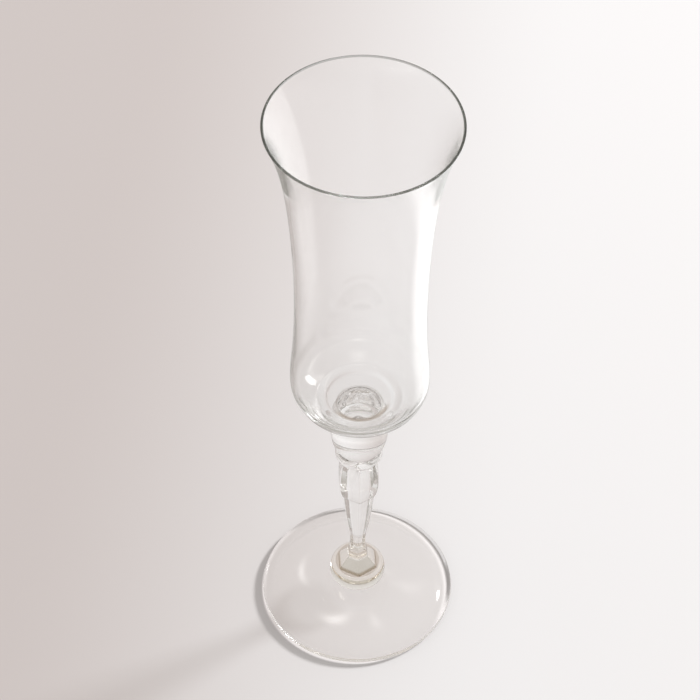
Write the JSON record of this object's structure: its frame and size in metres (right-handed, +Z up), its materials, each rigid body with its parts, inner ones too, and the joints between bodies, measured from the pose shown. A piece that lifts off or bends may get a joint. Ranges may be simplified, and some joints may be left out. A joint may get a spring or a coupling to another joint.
{
  "type": "champagne flute",
  "caption": "Clear glass champagne flute with a tulip bowl, flared lip, knop, collar, six-sided stem and disc foot.",
  "frame": {"origin": "where the axis of the glass meets the table, at the centre of the foot's resting ring", "axes": "+Z up along the axis of the glass, from the foot to the lip; -Y is the direction that one arris of the six-sided stem faces"},
  "size_m": [0.064, 0.064, 0.217],
  "materials": {
    "bowl_glass": "clear, thin-walled, fire-polished",
    "stem_glass": "clear, solid, pressed and fire-polished",
    "foot_glass": "clear, pressed and fire-polished"
  },
  "bodies": {
    "root": {"foot": "foot_glass", "button": "stem_glass", "stem": "stem_glass", "collar": "stem_glass", "knop": "stem_glass", "bowl": "bowl_glass"}
  },
  "joints": []
}
